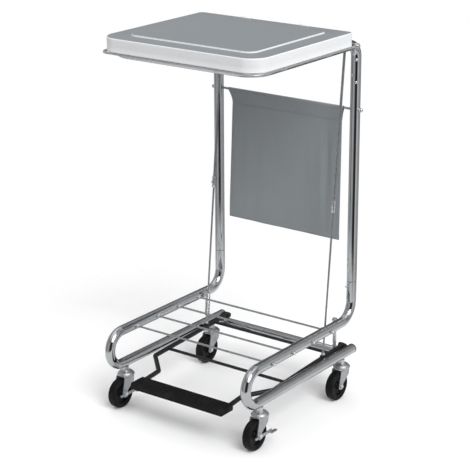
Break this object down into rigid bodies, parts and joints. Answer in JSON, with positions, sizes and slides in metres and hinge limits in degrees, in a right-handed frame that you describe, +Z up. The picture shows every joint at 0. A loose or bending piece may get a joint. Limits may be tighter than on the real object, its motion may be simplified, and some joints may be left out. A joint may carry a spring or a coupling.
{
  "type": "linen trolley",
  "caption": "Chrome tube hamper stand on casters, with a hinged plastic lid that a foot pedal lifts through pull rods, a wire shelf and a cloth back panel.",
  "frame": {"origin": "on the floor, midway between the side frames and under the uprights", "axes": "+Z up, +X to the right-hand side frame, -Y towards the pedal at the front"},
  "size_m": [0.469, 0.4813, 0.954],
  "materials": {
    "chrome_tube": "polished chrome plate",
    "bright_wire": "bright plated wire",
    "zinc_fastener": "bright zinc plate",
    "zinc_pressing": "satin zinc plate",
    "damper_metal": "smooth satin steel",
    "panel_cloth": "woven polyester cloth",
    "lid_plastic": "moulded plastic with a fine grain on top",
    "clip_plastic": "moulded plastic",
    "black_plastic": "moulded plastic",
    "black_paint": "satin black powder coat",
    "pad_rubber": "ribbed rubber",
    "wheel_plastic": "moulded plastic",
    "tyre_rubber": "smooth solid rubber"
  },
  "bodies": {
    "frame": {"lower_frame_left": "chrome_tube", "lower_frame_right": "chrome_tube", "upper_frame": "chrome_tube", "rear_cross_tube": "chrome_tube", "rail_end_plugs": "black_plastic", "upright_rivets": "zinc_fastener", "shelf_wire_front": "bright_wire", "shelf_wire_second": "bright_wire", "shelf_wire_third": "bright_wire", "shelf_wire_rear": "bright_wire", "shelf_wire_nuts": "zinc_fastener", "panel_rod": "bright_wire", "panel_rod_nuts": "zinc_fastener", "fabric_panel": "panel_cloth", "pedal_pivot_pins": "black_paint", "pivot_push_nuts": "black_paint", "damper_cylinder": "damper_metal", "damper_stud": "zinc_fastener", "caster_stems": "zinc_fastener"},
    "lid": {"lid_shell": "lid_plastic", "lid_wire_frame": "bright_wire", "lid_clips": "clip_plastic", "lid_hinge_shaft": "bright_wire", "shaft_levers": "bright_wire", "shaft_push_nuts": "zinc_fastener"},
    "rods_left": {"upper_rod_left": "bright_wire", "rod_coupler_left": "zinc_fastener", "lower_rod_left": "bright_wire", "rod_spring": "bright_wire", "spring_spindle": "bright_wire", "rod_nuts_left": "zinc_fastener"},
    "rods_right": {"upper_rod_right": "bright_wire", "rod_coupler_right": "zinc_fastener", "lower_rod_right": "bright_wire", "rod_nuts_right": "zinc_fastener"},
    "pedal": {"pedal_frame": "black_paint", "pedal_pad": "pad_rubber"},
    "damper_rod": {"damper_plunger": "damper_metal"},
    "button_left": {"snap_button_left": "zinc_fastener"},
    "button_right": {"snap_button_right": "zinc_fastener"},
    "swivel_fl": {"caster_fork_fl": "zinc_pressing", "axle_bolt_fl": "zinc_fastener"},
    "wheel_fl": {"wheel_hub_fl": "wheel_plastic", "tyre_fl": "tyre_rubber"},
    "swivel_fr": {"caster_fork_fr": "zinc_pressing", "axle_bolt_fr": "zinc_fastener"},
    "wheel_fr": {"wheel_hub_fr": "wheel_plastic", "tyre_fr": "tyre_rubber"},
    "swivel_rl": {"caster_fork_rl": "zinc_pressing", "axle_bolt_rl": "zinc_fastener"},
    "wheel_rl": {"wheel_hub_rl": "wheel_plastic", "tyre_rl": "tyre_rubber"},
    "swivel_rr": {"caster_fork_rr": "zinc_pressing", "axle_bolt_rr": "zinc_fastener"},
    "wheel_rr": {"wheel_hub_rr": "wheel_plastic", "tyre_rr": "tyre_rubber"},
    "brake_left": {"brake_lever_left": "zinc_pressing"},
    "brake_right": {"brake_lever_right": "zinc_pressing"}
  },
  "joints": [
    {"name": "lid_hinge", "type": "hinge", "parent": "frame", "child": "lid", "pos_m": [0, -0.028, 0.914], "axis": [-1, 0, 0], "range_deg": [0, 58]},
    {"name": "pedal_hinge", "type": "hinge", "parent": "frame", "child": "pedal", "pos_m": [0, -0.002, 0.122], "axis": [1, 0, 0], "range_deg": [0, 8.3]},
    {"name": "rod_hinge_left", "type": "hinge", "parent": "lid", "child": "rods_left", "pos_m": [-0.186, -0.014, 0.9165], "axis": [-1, 0, 0], "range_deg": [-58.5, 0]},
    {"name": "rod_hinge_right", "type": "hinge", "parent": "lid", "child": "rods_right", "pos_m": [0.186, -0.014, 0.9165], "axis": [-1, 0, 0], "range_deg": [-58.5, 0]},
    {"name": "damper_slide", "type": "slide", "parent": "frame", "child": "damper_rod", "axis": [0, 0, -1], "range_m": [0, 0.0053]},
    {"name": "swivel_fl", "type": "hinge", "parent": "frame", "child": "swivel_fl", "pos_m": [-0.209, -0.398, 0.09], "axis": [0, 0, 1], "continuous": true},
    {"name": "roll_fl", "type": "hinge", "parent": "swivel_fl", "child": "wheel_fl", "pos_m": [-0.209, -0.421, 0.038], "axis": [1, 0, 0], "continuous": true},
    {"name": "swivel_fr", "type": "hinge", "parent": "frame", "child": "swivel_fr", "pos_m": [0.209, -0.398, 0.09], "axis": [0, 0, 1], "continuous": true},
    {"name": "roll_fr", "type": "hinge", "parent": "swivel_fr", "child": "wheel_fr", "pos_m": [0.209, -0.421, 0.038], "axis": [1, 0, 0], "continuous": true},
    {"name": "swivel_rl", "type": "hinge", "parent": "frame", "child": "swivel_rl", "pos_m": [-0.209, -0.04, 0.09], "axis": [0, 0, 1], "continuous": true},
    {"name": "roll_rl", "type": "hinge", "parent": "swivel_rl", "child": "wheel_rl", "pos_m": [-0.209, -0.063, 0.038], "axis": [1, 0, 0], "continuous": true},
    {"name": "swivel_rr", "type": "hinge", "parent": "frame", "child": "swivel_rr", "pos_m": [0.209, -0.04, 0.09], "axis": [0, 0, 1], "continuous": true},
    {"name": "roll_rr", "type": "hinge", "parent": "swivel_rr", "child": "wheel_rr", "pos_m": [0.209, -0.063, 0.038], "axis": [1, 0, 0], "continuous": true},
    {"name": "brake_left", "type": "hinge", "parent": "swivel_fl", "child": "brake_left", "pos_m": [-0.209, -0.421, 0.038], "axis": [-1, 0, 0], "range_deg": [0, 15]},
    {"name": "brake_right", "type": "hinge", "parent": "swivel_fr", "child": "brake_right", "pos_m": [0.209, -0.421, 0.038], "axis": [-1, 0, 0], "range_deg": [0, 15]},
    {"name": "button_left", "type": "slide", "parent": "frame", "child": "button_left", "axis": [-0.7071, 0.7071, 0], "range_m": [0, 0.0035], "stiffness_N_per_m": 600, "springref_m": -0.003},
    {"name": "button_right", "type": "slide", "parent": "frame", "child": "button_right", "axis": [0.7071, 0.7071, 0], "range_m": [0, 0.0035], "stiffness_N_per_m": 600, "springref_m": -0.003}
  ],
  "couplings": [
    {"joint": "pedal_hinge", "follows": "lid_hinge", "ratio": 0.14138},
    {"joint": "rod_hinge_left", "follows": "lid_hinge", "ratio": -1.0058},
    {"joint": "rod_hinge_right", "follows": "lid_hinge", "ratio": -1.0058},
    {"joint": "damper_slide", "follows": "lid_hinge", "m_per_rad": 0.005157}
  ]
}
